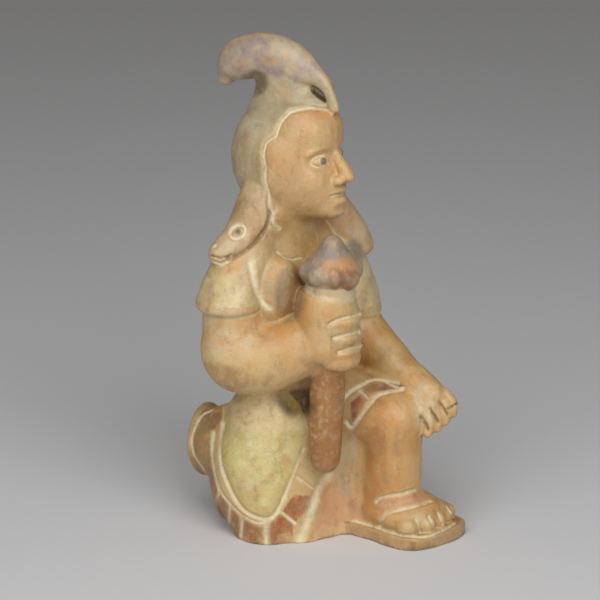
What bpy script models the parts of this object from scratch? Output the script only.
"""A kneeling warrior of fired clay, modelled as one solid.

The figure faces -Y and its right side is -X. It stands on the plane Z = 0, with the origin under its
chest. It is drawn on a grid on which it is 215 units tall, so every place and thickness of the figure is a
share of its height. Sizes of the work that can be set by themselves stand at the top.
"""

import math

import bmesh
import bpy
import numpy as np
from mathutils import Euler, Matrix, Vector
from mathutils.bvhtree import BVHTree

# Driving dimensions, in metres
FIGURE_HEIGHT = 0.220  # from the ground to the top of the crest

# The drawing grid
GRID_HEIGHT = 215.0
UNIT = FIGURE_HEIGHT / GRID_HEIGHT

# How the clay is worked, with lengths on the grid
SKIN_VOXEL = 1.05  # how finely the clay masses are fused
FLESH_VOXEL = 1.55  # the same for the soft masses under the details
FLESH_ROUNDS = 14  # rounds of smoothing that melt the soft masses into each other
SKIN_ROUNDS = 3  # rounds of smoothing that take the edge off the finished skin
EVEN_TRIANGLES = 15000  # after the first thinning, which treats the whole skin alike
SOLID_TRIANGLES = 9800  # after the second, which spares the fine places
GROUND_SNAP = 0.3  # what lies closer than this to the ground is set on it
FOLD = 1.9  # radians between two neighbouring faces that have folded over
UNFOLD_ROUNDS = 6

# Sizes on the grid
GROUND_CUT = 12.0  # how far the masses run on below the ground before they are cut off flat
SHAFT_RADIUS = 7.2
SOLE_THICKNESS = 5.5

FINISH = {"colour": (0.62, 0.36, 0.20, 1.0), "roughness": 0.62}

BODY = Matrix.Identity(4)
HEAD_TURN = 15.0  # degrees to the figure's left
HEAD_BASE = (0.0, 5.0, 137.0)  # the level of the chin, on the axis of the neck
HEAD = Matrix.Translation(Vector(HEAD_BASE) * UNIT) @ Matrix.Rotation(math.radians(HEAD_TURN), 4, "Z")
FACE_TILT = -7.0  # degrees about the ears, which brings the chin forward
EARS = Matrix.Translation((0, 0, 26 * UNIT))
FACE = HEAD @ EARS @ Matrix.Rotation(math.radians(FACE_TILT), 4, "X") @ EARS.inverted()
UPRIGHT = Matrix.Rotation(math.radians(90), 4, "X")

RING_SIDES = 24
STEPS_BETWEEN = 6


def start_empty():
    for ob in list(bpy.data.objects):
        bpy.data.objects.remove(ob)


def smooth_path(stations, steps=STEPS_BETWEEN):
    """Points on a Catmull-Rom curve through the stations, whatever each station holds."""
    knots = np.array(stations, float)
    ends = np.vstack([2 * knots[0] - knots[1], knots, 2 * knots[-1] - knots[-2]])
    t = np.linspace(0, 1, steps, endpoint=False)[:, None]
    runs = []
    for a, b, c, d in zip(ends, ends[1:], ends[2:], ends[3:]):
        bend = 2 * a - 5 * b + 4 * c - d
        twist = 3 * b - a - 3 * c + d
        runs.append(0.5 * (2 * b + (c - a) * t + bend * t**2 + twist * t**3))
    return np.vstack([*runs, knots[-1:]])


def lump(centre, radii, turn=(0, 0, 0), frame=BODY):
    """A ball stretched to three radii."""
    bpy.ops.mesh.primitive_uv_sphere_add(segments=32, ring_count=20, radius=1)
    ball = bpy.context.object
    spin = Euler([math.radians(a) for a in turn])
    ball.matrix_world = frame @ Matrix.LocRotScale(Vector(centre) * UNIT, spin, Vector(radii) * UNIT)
    return [ball]


def limb(stations, stretch=(1, 1, 1), frame=BODY):
    """A tube along a smooth path of (x, y, z, radius), with a ball at each end, stretched across."""
    stretch = Vector(stretch)
    points = smooth_path(stations)
    data = bpy.data.curves.new("limb", "CURVE")
    data.dimensions = "3D"
    data.bevel_depth = UNIT
    data.bevel_resolution = 6
    data.use_fill_caps = True
    spline = data.splines.new("POLY")
    spline.points.add(len(points) - 1)
    for knot, (x, y, z, radius) in zip(spline.points, points):
        knot.co = (x * UNIT / stretch.x, y * UNIT / stretch.y, z * UNIT / stretch.z, 1)
        knot.radius = radius
    tube = bpy.data.objects.new("limb", data)
    bpy.context.scene.collection.objects.link(tube)
    tube.matrix_world = frame @ Matrix.LocRotScale(Vector(), Euler(), stretch)
    ends = [lump(p[:3], stretch * p[3], frame=frame)[0] for p in (points[0], points[-1])]
    return [tube, *ends]


def loft(sections, frame=BODY):
    """A closed skin over rings of (x, y, z, half width, half depth)."""
    mesh = bmesh.new()
    rings = []
    for x, y, z, wide, deep in smooth_path(sections):
        place = Matrix.LocRotScale(Vector((x, y, z)) * UNIT, Euler(), Vector((wide, deep, 1)) * UNIT)
        rings.append(bmesh.ops.create_circle(mesh, segments=RING_SIDES, radius=1, matrix=place)["verts"])
    for below, above in zip(rings, rings[1:]):
        for i in range(RING_SIDES):
            j = (i + 1) % RING_SIDES
            mesh.faces.new((below[i], below[j], above[j], above[i]))
    mesh.faces.new(rings[0])
    mesh.faces.new(rings[-1])
    bmesh.ops.recalc_face_normals(mesh, faces=mesh.faces)
    data = bpy.data.meshes.new("loft")
    mesh.to_mesh(data)
    mesh.free()
    body = bpy.data.objects.new("loft", data)
    bpy.context.scene.collection.objects.link(body)
    body.matrix_world = frame
    return [body]


def plate(outline, low, high, rounding, frame=BODY):
    """A flat outline given thickness from low to high, with rounded rims."""
    data = bpy.data.curves.new("plate", "CURVE")
    data.dimensions = "2D"
    data.fill_mode = "BOTH"
    data.extrude = ((high - low) / 2 - rounding) * UNIT
    data.bevel_depth = rounding * UNIT
    data.bevel_resolution = 3
    data.offset = -rounding * UNIT
    spline = data.splines.new("POLY")
    points = smooth_path([*outline, outline[0]])[:-1]
    spline.points.add(len(points) - 1)
    for knot, (x, y) in zip(spline.points, points):
        knot.co = (x * UNIT, y * UNIT, 0, 1)
    spline.use_cyclic_u = True
    slab = bpy.data.objects.new("plate", data)
    bpy.context.scene.collection.objects.link(slab)
    slab.matrix_world = frame @ Matrix.Translation((0, 0, (low + high) / 2 * UNIT))
    return [slab]


def evaluated_mesh(ob):
    """The mesh that an object shows, in world space."""
    bpy.context.view_layer.update()
    graph = bpy.context.evaluated_depsgraph_get()
    mesh = bpy.data.meshes.new_from_object(ob.evaluated_get(graph))
    mesh.transform(ob.matrix_world)
    return mesh


def fuse(name, pieces, voxel, rounds):
    """Presses pieces of clay into one skin: their meshes are joined, remeshed and smoothed."""
    joined = bmesh.new()
    for piece in pieces:
        mesh = evaluated_mesh(piece)
        joined.from_mesh(mesh)
        bpy.data.meshes.remove(mesh)
        bpy.data.objects.remove(piece)
    data = bpy.data.meshes.new(name)
    joined.to_mesh(data)
    joined.free()
    skin = bpy.data.objects.new(name, data)
    bpy.context.scene.collection.objects.link(skin)
    remesh = skin.modifiers.new("one skin", "REMESH")
    remesh.mode = "VOXEL"
    remesh.voxel_size = voxel * UNIT
    soften = skin.modifiers.new("soften", "SMOOTH")
    soften.factor = 0.5
    soften.iterations = rounds
    return skin


# The soft masses of the body


def torso():
    return loft([
        (0, 9, 50, 21, 18),
        (0, 8, 66, 20, 17),
        (-1, 5, 84, 22, 17),
        (-1, 4, 104, 26, 17),
        (0, 5, 119, 28, 16),
        (0, 7, 129, 24, 14),
        (-1, 8, 138, 18, 14),
        (-1, 7, 148, 17, 15),
    ])


RIGHT_ARM = [
    (-24, 6, 125, 12.5),
    (-29, 6, 118, 13.0),
    (-33, 5.5, 108, 12.6),
    (-34.5, 4.5, 96, 12.6),
    (-34.5, 2.5, 85, 14.6),
    (-29, -5, 83, 14.6),
    (-22, -12, 86, 13.8),
    (-15.5, -19, 91, 13.0),
    (-11, -24, 95, 12.5),
]
LEFT_ARM = [
    (25, 4, 118, 12.5),
    (27, 3.5, 108, 13.0),
    (30, 2.5, 101, 12.4),
    (33, 1.5, 94, 11.8),
    (33.8, 0.8, 87, 11.2),
    (35.5, -4, 80.5, 10.6),
    (35.5, -15.5, 73.5, 9.2),
    (35.5, -27.5, 67, 8.4),
    (36.5, -38, 62, 8.0),
]
LEFT_THIGH = [
    (12, 6, 54, 19.0),
    (18, -10, 53, 16.5),
    (24, -29, 51, 14.2),
]
LEFT_SHIN = [
    (24, -32.3, 51, 13.8),
    (24, -32.6, 36, 12.3),
    (24, -33, 20, 12.2),
    (24, -31, 9, 12.5),
]


def kilt():
    """The cloth over the right thigh and the folded calf, and round the back down to the ground."""
    right = loft([
        (-17, 3, -GROUND_CUT, 12, 13),
        (-16.8, 3.4, 1, 13, 14.4),
        (-16.2, 5.6, 5, 14.6, 16.8),
        (-15.5, 7.5, 9, 15.9, 18.4),
        (-14.5, 11, 18, 18.7, 21.5),
        (-13, 12, 32, 19, 20.5),
        (-9, 11, 46, 18, 18),
        (-4, 10, 58, 19, 17),
    ])
    back = loft([
        (8, 16, -GROUND_CUT, 18, 16),
        (7, 16, 16, 19, 17),
        (3, 13, 40, 20, 17),
        (1, 11, 58, 19, 16),
    ])
    return right + back


def web():
    """The clay left standing between the legs."""
    near = limb([(3, -6, -10, 16.0), (4, -5, 8, 13.5), (6, -6, 24, 12.5), (8, -6, 44, 13.0)])
    near += limb([(-6, -5, -10, 15.0), (-6, -5, 6, 12.5), (-4, -5, 24, 12.5), (0, -4, 44, 13.0)])
    far = limb([(14, -15, -10, 11.0), (14, -14, 8, 10.0), (15, -15, 24, 9.5), (16, -14, 44, 12.0)])
    return near + far


def left_leg():
    foot = limb([(25, -29, 11, 7.0), (26, -40, 10.5, 8.0), (27.5, -47, 9.2, 7.8)], stretch=(2.0, 1, 1))
    return limb(LEFT_THIGH) + limb(LEFT_SHIN) + foot


REAR_SOLE = (-16.2, 33.4, 10.7, 16.5)  # across, up, half width, half height


def sole_plate(share, front, back, rounding):
    """The outline of the upright right sole, made a slab between two depths."""
    across, level, wide, tall = REAR_SOLE
    turns = np.linspace(0, 2 * math.pi, 12, False)
    outline = [(across + wide * share * math.cos(a), level + tall * share * math.sin(a)) for a in turns]
    return plate(outline, -back, -front, rounding, frame=UPRIGHT)


def rear_foot():
    toes_under = lump((-10, 29, 8), (10, 9, 12))
    heel = lump((-15.5, 26, 41.5), (9.5, 10, 11.5))
    return sole_plate(0.985, 22, 40, 3.0) + toes_under + heel


def skull():
    hood = lump((0, 1.5, 26.5), (20.5, 24.5, 27), frame=HEAD)
    forehead = lump((0, -6.5, 38.5), (16.5, 17, 15), frame=HEAD)
    jaw = lump((0, -8, 15), (15.5, 15.5, 15.5), frame=FACE)
    return hood + forehead + jaw


def flesh():
    left_flank = lump((23, 0, 80), (12, 10, 17))
    behind_club = lump((2, -14, 117), (8, 7, 9))
    under_lappet = lump((-16.5, 1.5, 137.5), (8, 5.5, 9))
    upper = torso() + skull() + limb(RIGHT_ARM) + limb(LEFT_ARM) + left_flank + behind_club + under_lappet
    lower = kilt() + web() + left_leg() + rear_foot()
    return fuse("flesh", upper + lower, FLESH_VOXEL, FLESH_ROUNDS)


# What is laid on the body with crisp edges

CREST_LINE = [
    (1, 31.6, 56.2, 3.6),
    (1, 29.2, 60.4, 6.6),
    (0, 24, 65, 9.0),
    (0, 14.5, 68, 9.6),
    (0, 3.5, 67.4, 9.6),
    (0, -5.7, 64.6, 7.7),
    (0, -13.3, 61.8, 4.3),
    (0, -18.2, 56.9, 2.5),
    (0, -20.4, 51.6, 2.1),
    (0, -21.2, 46.5, 2.0),
]


def crest():
    blade = limb(CREST_LINE, stretch=(0.8, 1, 1), frame=HEAD)
    stalk = loft([
        (0, 1.5, 41, 13, 18.5),
        (0, 0.8, 46, 11.2, 18.8),
        (0, -0.4, 50, 8.8, 18.0),
        (0, 0.4, 53, 7.5, 16.2),
        (0, 2.2, 56, 6.8, 14.0),
        (0, 3.8, 62, 6.5, 12.6),
    ], frame=HEAD)
    wall_behind_slot = lump((2.4, -14, 56), (1.3, 6, 8), frame=HEAD)
    return blade + stalk + wall_behind_slot


def face():
    """The forms that stand out of a calm, plain face: brows a third of the way down it, a nose, a chin."""
    nose = limb([(0, -21.5, 30, 1.8), (0, -24.6, 23.5, 2.5), (0, -26.6, 18.4, 3.1)], frame=FACE)
    brows = limb([(-12.5, -16.4, 30.4, 1.8), (-7, -20.4, 32, 2.0), (0, -21.4, 31.4, 2.2)], frame=FACE)
    brows += limb([(12.5, -16.4, 30.4, 1.8), (7, -20.4, 32, 2.0), (0, -21.4, 31.4, 2.2)], frame=FACE)
    sides = []
    for side in (-1, 1):
        sides += lump((3.3 * side, -23.8, 17.2), (2.3, 2.8, 2.1), frame=FACE)
        sides += lump((7.5 * side, -12.5, 19), (8.5, 8.5, 9.5), frame=FACE)
    chin = lump((0, -17.5, 5), (8, 6, 5.4), frame=FACE)
    return nose + brows + sides + chin


def lappets():
    right = limb([
        (-12.5, 8, 160, 6.5),
        (-14.5, 7.5, 150, 8.6),
        (-19, 7, 140.5, 9.4),
        (-26.5, 7, 133, 8.4),
        (-34, 8, 129.5, 6.6),
        (-37, 8, 128.5, 5.6),
    ])
    left = limb([
        (16, 4, 145, 8),
        (23, 1, 135, 8),
        (29, -3, 126, 7),
        (32.5, -5.5, 120.5, 5.4),
    ])
    return right + left


def breast():
    """The bare right breast, which hangs over the forearm."""
    return lump((-19.4, -6.3, 111.5), (11.2, 8.2, 15.5), turn=(0, 0, -35))


def cape():
    """The cloth over the back between the sleeves."""
    return loft([
        (0, 9.5, 97, 25, 15.5),
        (0, 9.5, 104, 27, 15.5),
        (0, 9, 116, 27, 14.5),
        (0, 9, 126, 22, 13.5),
        (0, 8.5, 134, 16, 12.5),
    ])


def sleeves():
    right = loft([
        (-22, 6, 131, 8, 8),
        (-24.5, 6, 126, 12.3, 12.3),
        (-30, 6.6, 117.5, 13.2, 13.2),
        (-33.8, 6.2, 110, 13.8, 13.8),
        (-34.8, 6, 106.6, 13.9, 13.9),
        (-34.8, 6, 104.8, 12.7, 12.7),
    ])
    left = loft([
        (22, 5, 126, 8, 8),
        (24.5, 4.5, 120, 12.5, 12.5),
        (27.5, 3.5, 108, 14.2, 14.2),
        (31, 2.5, 99, 13.9, 13.9),
        (33.5, 1.5, 89.5, 13.4, 13.4),
    ])
    return right + left


CLUB_FOOT = (-9.2, -25.0, 40.0)
CLUB_NECK = (-9.2, -27.8, 114.0)
CLUB_HEAD = [  # height, radius
    (112, 10.4),
    (116, 10.5),
    (119.5, 10.8),
    (121.5, 12.6),
    (123.5, 12.8),
    (126.5, 11),
    (130.5, 7.6),
    (134.5, 4.6),
]
LOBES = 8  # round the rim of the club's head
FIRST_LOBE = -83.0  # degrees, the lobe that hangs lowest
LOBE_RING = 9.2
LOBE_LEVEL = 123.0


def club_at(z):
    """The point of the club's axis at a height."""
    foot, neck = Vector(CLUB_FOOT), Vector(CLUB_NECK)
    return tuple(foot.lerp(neck, (z - foot.z) / (neck.z - foot.z)))[:2]


def club():
    middle = (*club_at(60), 60, SHAFT_RADIUS)
    shaft = limb([(*CLUB_FOOT, SHAFT_RADIUS - 0.8), middle, (*CLUB_NECK, SHAFT_RADIUS)])
    head = loft([(*club_at(z), z, radius, radius) for z, radius in CLUB_HEAD])
    tip = lump((*club_at(134), 134), (4.6, 4.6, 4.2))
    x, y = club_at(LOBE_LEVEL)
    lobes = []
    for i in range(LOBES):
        a = math.radians(FIRST_LOBE + i * 360 / LOBES)
        place = (x + LOBE_RING * math.cos(a), y + LOBE_RING * math.sin(a), LOBE_LEVEL - 1.5 * (i == 0))
        lobes += lump(place, (4.4, 4.4, 4.6))
    return shaft + head + tip + lobes


FINGER_LEVELS = (103.2, 95.9, 90.0, 85.6)
GRIP_RADIUS = 9.3
FINGER_RADIUS = 4.2
FIST = [  # height, radius
    (84.2, 8),
    (86, 11.6),
    (90.5, 13.1),
    (97, 13.3),
    (106, 13.1),
    (112, 12.2),
    (114.4, 11.1),
    (115.4, 9.2),
]


def right_hand():
    x, y = club_at(96)
    fist = loft([(x - 0.8, y + 0.8, z, radius, radius) for z, radius in FIST])
    fingers = []
    for level in FINGER_LEVELS:
        arc = []
        for degrees in range(225, 426, 20):
            a = math.radians(degrees)
            radius = FINGER_RADIUS * min(1, 0.7 + (degrees - 225) / 120)
            arc.append((x + GRIP_RADIUS * math.cos(a), y + GRIP_RADIUS * math.sin(a), level, radius))
        fingers += limb(arc)
    return fist + fingers


LEFT_KNUCKLES = [(30.6, -44.2, 55.6), (33.8, -44.9, 57.8), (36.7, -46, 60), (39.4, -47.6, 61.8)]
LEFT_TIPS = [(30.0, -47, 46.6), (33.9, -48.6, 48.4), (37.6, -50, 50.6), (41, -51.2, 53.6)]


def left_hand():
    fingers = []
    for knuckle, tip in zip(LEFT_KNUCKLES, LEFT_TIPS):
        bend = [(a + b) / 2 for a, b in zip(knuckle, tip)]
        bend = (bend[0] + 0.5, bend[1] - 1.5, bend[2] + 1)
        fingers += limb([(*knuckle, 2.9), (*bend, 2.5), (*tip, 2.2)])
    back = lump((36.2, -42, 62.4), (7.2, 7.4, 6.0), turn=(20, 20, 0))
    back += lump((35.4, -45.2, 57), (7.6, 4.6, 5.6), turn=(0, -25, 0))
    return fingers + back


SOLE = [
    (8, -21),
    (9, -34),
    (9.5, -45),
    (12, -53.5),
    (19, -58),
    (33, -59.5),
    (43, -57),
    (46.5, -51),
    (44, -38),
    (39, -25),
    (32, -18),
    (20, -15),
]


def sandal():
    return plate(SOLE, -SOLE_THICKNESS, SOLE_THICKNESS, 1.2)


TOES = [(15.5, -49.6, 4.1), (24, -52.2, 4.0), (31, -52.2, 3.8), (37.2, -50.6, 3.7), (42.2, -48, 3.6)]


def toes():
    made = []
    for x, y, radius in TOES:
        root = (26 + (x - 26) * 0.85, y + 14)
        made += limb([(*root, SOLE_THICKNESS + 6, radius), (x, y, SOLE_THICKNESS + radius * 0.7, radius)])
    return made


def details():
    laid = crest() + face() + lappets() + breast() + cape() + sleeves() + club() + right_hand() + left_hand()
    return laid + sandal() + toes() + sole_plate(1, 38.6, 41.4, 0.9)


# What is cut into the skin

# Lines are drawn on a plane, across and up, and pressed straight back through it into the skin
VIEW_TURN = -45.0
VIEW_TILT = 18.0
TILTED = Matrix.Rotation(math.radians(90 - VIEW_TILT), 4, "X")
THREE_QUARTER = Matrix.Rotation(math.radians(VIEW_TURN), 4, "Z") @ TILTED
FACE_ON = FACE @ UPRIGHT

# width, depth, points
FINGERS = [
    (1.0, 1.2, [(13.2, 87.6), (18, 89.2), (25, 90.6)]),
    (1.0, 1.2, [(14.8, 81.6), (19, 82.3), (24.5, 83.2)]),
    (1.0, 1.2, [(17, 75.8), (21, 76.6), (25.8, 77.4)]),
    (0.8, 1.0, [(51.6, 47.4), (54.7, 42)]),
    (0.8, 1.0, [(55.6, 50.8), (58.9, 45.2)]),
    (0.8, 1.0, [(59.6, 53.6), (63.2, 48.2)]),
]
FOOT_LINES = [
    (1.0, 1.0, [(23, 2.4), (31, 0.6), (39, -1.9), (47, -3), (54, -3.4), (62, -0.8), (66.5, 1.4)]),
    (1.0, 1.0, [(49.5, 4), (51.7, -2)]),
    (1.0, 1.0, [(54.8, 5), (57.3, 0)]),
    (1.0, 1.0, [(58.8, 6.3), (61.3, 1.4)]),
    (1.0, 1.0, [(63.2, 8.4), (65.6, 4.4)]),
    (1.1, 1.2, [(33, 11), (36, 13.3), (45, 15), (49, 16)]),
    (1.1, 1.3, [(34.5, -0.5), (36, 4.4), (40, 7), (50.5, 9.4), (56, 11.2)]),
    (0.9, 0.7, [(-37, 49.4), (-41.5, 46.8), (-44.6, 41), (-45.8, 36), (-44.6, 30), (-41, 24.4), (-39, 21)]),
]
KILT_LINES = [
    (1.2, 1.2, [(-32, 44), (-33.5, 34), (-32, 24.5), (-26, 11.5), (-19, 5.4), (-10.5, 5.4), (-3, 21), (2, 34)]),
    (1.0, 0.9, [(-36, 40), (-36.8, 30), (-33.8, 17), (-26.5, 8), (-18, 2.6), (-13, 3.4)]),
    (1.2, 1.2, [(0.6, -5.5), (5.3, 7.7), (8.7, 17.9), (12.5, 22)]),
    (1.2, 1.1, [(20.5, 45), (22.6, 42.8), (26, 47), (30, 52.5), (34.5, 56.8), (44, 58.8)]),
    (1.0, 0.9, [(19.6, 55), (22.6, 58), (26.8, 60.5), (32.5, 62.8), (42.5, 61.4)]),
]
TILE_ENDS = [
    ((-33, 16), (-35, 10)),
    ((-28.6, 10.3), (-29.8, 2)),
    ((-23.5, 5.2), (-24.6, -3.6)),
    ((-13.8, 3.7), (-13.4, -6.6)),
    ((-7.9, 7.5), (-1.5, 2.2)),
    ((-0.2, 21.9), (6.1, 16.7)),
    ((26, 58.3), (31.6, 53.3)),
    ((36, 62.4), (41.8, 59.5)),
]
DRESS_LINES = [
    (1.1, 1.1, [(-18.4, 115), (-17.8, 109), (-17, 101), (-14.5, 95)]),
    (1.0, 1.0, [(-35.6, 114.6), (-32, 113.8), (-26, 116.4)]),
]
LAPPET_EYE = (-25.0, 124.7, 2.8, 2.8)  # across, up, half width, half height
MOUTH_LINE = (0.8, 1.1, [(-6.2, 10.9), (-3, 10.9), (0, 10.4), (3, 10.9), (6.2, 10.9)])
EYE_RIMS = [(-7.6, 26.6, 4.3, 2.4), (7.6, 26.6, 4.3, 2.4)]

# Hills and hollows of the face: across on both sides, level above the chin, half width, half height, rise
FACE_FORMS = [
    (7.6, 27.0, 6.0, 4.0, -2.2),
    (7.6, 26.6, 3.6, 2.2, 2.2),
    (0, 12.7, 5.4, 1.5, 1.1),
    (0, 8.4, 4.8, 1.7, 1.3),
    (0, 5.0, 5.0, 1.3, -0.9),
]
FACE_FRONT = -9.0  # the forms fade out where the head turns back past this

# The hood's edge from the side of the head: degrees up from level, distance from the opening's centre
HOOD_CENTRE = (-21.0, 24.0)  # back from the neck's axis, and up from the chin
HOOD_EDGE = [
    (-61, 31.0),
    (-42, 25.3),
    (-21, 21.9),
    (8, 21.0),
    (22, 24.0),
    (30, 25.0),
    (41, 23.6),
    (53, 27.3),
    (61, 28.7),
    (75, 27.4),
    (91, 24.0),
    (105, 22.0),
]
HOOD_RISE = 1.0
HOOD_FADE = 9.0
HOOD_GROOVE = 1.2
HOOD_HALF_WIDTH = 24
HOOD_END = 14.0  # degrees over which the hood's edge fades at its lower end
LINE_FADE = 3.0  # cut lines run out at this height above the ground

# Where the skin keeps more of its faces: x, y, z, reach
FINE_PLACES = [
    (0, -9, 157, 27),
    (-9, -26, 96, 18),
    (36, -47, 53, 13),
    (28, -48, 8, 26),
    (-26, 8, 133, 14),
    (-16, -10, 12, 24),
    (20, -18, 62, 15),
]


def ring_line(across, up, wide, tall):
    turns = np.linspace(0, 2 * math.pi, 13)
    return [(across + wide * math.cos(a), up + tall * math.sin(a)) for a in turns]


def strokes():
    """Every cut line as its plane, width, depth and points."""
    tiles = [(0.9, 0.5, list(ends)) for ends in TILE_ENDS]
    dress = FINGERS + FOOT_LINES + KILT_LINES + DRESS_LINES + tiles + [(0.9, 1.0, ring_line(*LAPPET_EYE))]
    face = [MOUTH_LINE] + [(0.7, 0.8, ring_line(*rim)) for rim in EYE_RIMS]
    return [(THREE_QUARTER, *line) for line in dress] + [(FACE_ON, *line) for line in face]


def press_lines(places, normals, tree):
    """The skin with its cut lines, as grooves with a bell-shaped section."""
    shift = np.zeros(len(places))
    for plane, width, depth, line in strokes():
        away = plane.col[2].to_3d()
        marks = []
        for across, up in smooth_path(line, 24):
            start = plane @ (Vector((across, up, GRID_HEIGHT * 2)) * UNIT)
            hit = tree.ray_cast(start, -away)[0]
            if hit is not None:
                marks.append(hit)
        marks = np.array(marks)
        reach = 3 * width * UNIT
        near = np.all((places > marks.min(0) - reach) & (places < marks.max(0) + reach), axis=1)
        gap = np.linalg.norm(places[near][:, None] - marks[None], axis=2).min(1)
        shift[near] = np.minimum(shift[near], -depth * UNIT * np.exp(-((gap / (width * UNIT)) ** 2)))
    shift *= np.clip(places[:, 2] / (LINE_FADE * UNIT), 0, 1)
    return places + normals * shift[:, None]


def seen_from(frame, places):
    """The same points in a frame of their own, on the grid."""
    inward = np.array(frame.inverted())
    return (places @ inward[:3, :3].T + inward[:3, 3]) / UNIT


def shape_face(places):
    """Moves the face out and in along the way that the head looks."""
    own = seen_from(FACE, places)
    front = np.clip((FACE_FRONT - own[:, 1]) / 4, 0, 1)
    push = np.zeros(len(places))
    for across, level, wide, tall, rise in FACE_FORMS:
        for side in {-across, across}:
            gap = ((own[:, 0] - side) / wide) ** 2 + ((own[:, 2] - level) / tall) ** 2
            push += rise * np.exp(-(gap**1.5))
    forward = -np.array(FACE.col[1].to_3d())
    return places + forward * (push * front * UNIT)[:, None]


def raise_hood(places, normals):
    """Cuts the hood's edge round the face and lifts the hood behind it, fading towards the back."""
    own = seen_from(HEAD, places)
    back, up = own[:, 1] - HOOD_CENTRE[0], own[:, 2] - HOOD_CENTRE[1]
    turn = np.degrees(np.arctan2(up, back))
    turns, distances = np.array(HOOD_EDGE).T
    beyond = np.hypot(back, up) - np.interp(turn, turns, distances)
    on_head = (turn < turns[-1]) & (np.abs(own[:, 0]) < HOOD_HALF_WIDTH)
    on_head = on_head * np.clip((turn - turns[0]) / HOOD_END, 0, 1)
    rise = HOOD_RISE * np.clip(beyond, 0, 1) * np.clip(1 - beyond / HOOD_FADE, 0, 1)
    groove = HOOD_GROOVE * np.exp(-(beyond**2))
    return places + normals * ((rise - groove) * on_head * UNIT)[:, None]


def carve(skin):
    """Works the cut lines into the fused skin, which becomes a plain mesh."""
    mesh = evaluated_mesh(skin)
    count = len(mesh.vertices)
    places, normals = np.empty(count * 3, "f"), np.empty(count * 3, "f")
    mesh.vertices.foreach_get("co", places)
    mesh.vertices.foreach_get("normal", normals)
    places, normals = places.reshape(-1, 3).astype(float), normals.reshape(-1, 3).astype(float)
    tree = BVHTree.FromPolygons(places.tolist(), [tuple(face.vertices) for face in mesh.polygons])
    carved = raise_hood(shape_face(press_lines(places, normals, tree)), normals)
    mesh.vertices.foreach_set("co", carved.ravel().astype("f"))
    mesh.update()
    skin.modifiers.clear()
    skin.data = mesh
    fine = skin.vertex_groups.new(name="fine")
    near = np.zeros(count, bool)
    for x, y, z, reach in FINE_PLACES:
        near |= np.linalg.norm(places / UNIT - (x, y, z), axis=1) < reach
    fine.add(np.flatnonzero(near).tolist(), 1.0, "REPLACE")
    return skin


def thin_out(skin):
    """Keeps the triangles where the surface turns most, and more of them in the fine places."""
    triangles = sum(len(face.vertices) - 2 for face in skin.data.polygons)
    evenly = skin.modifiers.new("fewer faces", "DECIMATE")
    evenly.ratio = EVEN_TRIANGLES / triangles
    elsewhere = skin.modifiers.new("fewer faces outside the fine places", "DECIMATE")
    elsewhere.ratio = SOLID_TRIANGLES / EVEN_TRIANGLES
    elsewhere.vertex_group = "fine"
    elsewhere.vertex_group_factor = 1.0
    elsewhere.invert_vertex_group = True
    skin.data = evaluated_mesh(skin)
    skin.modifiers.clear()
    return skin


def drop_inner_shells(mesh):
    """Keeps the outer skin only, as the fusing leaves a shell round every air pocket between the masses."""
    waiting = set(mesh.verts)
    shells = []
    while waiting:
        reached = [waiting.pop()]
        shell = set(reached)
        while reached:
            vert = reached.pop()
            beside = {edge.other_vert(vert) for edge in vert.link_edges} & waiting
            waiting -= beside
            shell |= beside
            reached.extend(beside)
        shells.append(shell)
    outer = max(shells, key=len)
    bmesh.ops.delete(mesh, geom=[vert for vert in mesh.verts if vert not in outer])


def cut_at_ground(skin):
    """Cuts the underside off flat at Z = 0."""
    mesh = bmesh.new()
    mesh.from_mesh(skin.data)
    drop_inner_shells(mesh)
    everything = mesh.verts[:] + mesh.edges[:] + mesh.faces[:]
    cut = bmesh.ops.bisect_plane(
        mesh, geom=everything, plane_co=(0, 0, 0), plane_no=(0, 0, -1), clear_outer=True
    )
    rim = [part for part in cut["geom_cut"] if isinstance(part, bmesh.types.BMEdge)]
    bmesh.ops.holes_fill(mesh, edges=rim)
    bmesh.ops.triangulate(mesh, faces=mesh.faces[:])
    mesh.to_mesh(skin.data)
    mesh.free()
    return skin


def set_on_ground(skin):
    """Evens out what the thinning folded over, and levels the underside that it leaves a hair off."""
    mesh = bmesh.new()
    mesh.from_mesh(skin.data)
    for _ in range(UNFOLD_ROUNDS):
        mesh.normal_update()
        folded = {vert for edge in mesh.edges if edge.calc_face_angle(0) > FOLD for vert in edge.verts}
        bmesh.ops.smooth_vert(
            mesh, verts=list(folded), factor=0.5, use_axis_x=True, use_axis_y=True, use_axis_z=True
        )
    for vert in mesh.verts:
        if vert.co.z < GROUND_SNAP * UNIT:
            vert.co.z = 0
    mesh.to_mesh(skin.data)
    mesh.free()
    return skin


def clay():
    """Fired clay, bare and slightly burnished."""
    material = bpy.data.materials.new("terracotta")
    material.use_nodes = True
    shader = material.node_tree.nodes["Principled BSDF"]
    shader.inputs["Base Color"].default_value = FINISH["colour"]
    shader.inputs["Roughness"].default_value = FINISH["roughness"]
    return material


def figurine():
    skin = fuse("figurine", [flesh(), *details()], SKIN_VOXEL, SKIN_ROUNDS)
    skin = set_on_ground(thin_out(cut_at_ground(carve(skin))))
    skin.data.materials.append(clay())
    return skin


def main():
    start_empty()
    group = bpy.data.collections.new("ceramic figurine")
    bpy.context.scene.collection.children.link(group)
    skin = figurine()
    for owner in list(skin.users_collection):
        owner.objects.unlink(skin)
    group.objects.link(skin)


main()
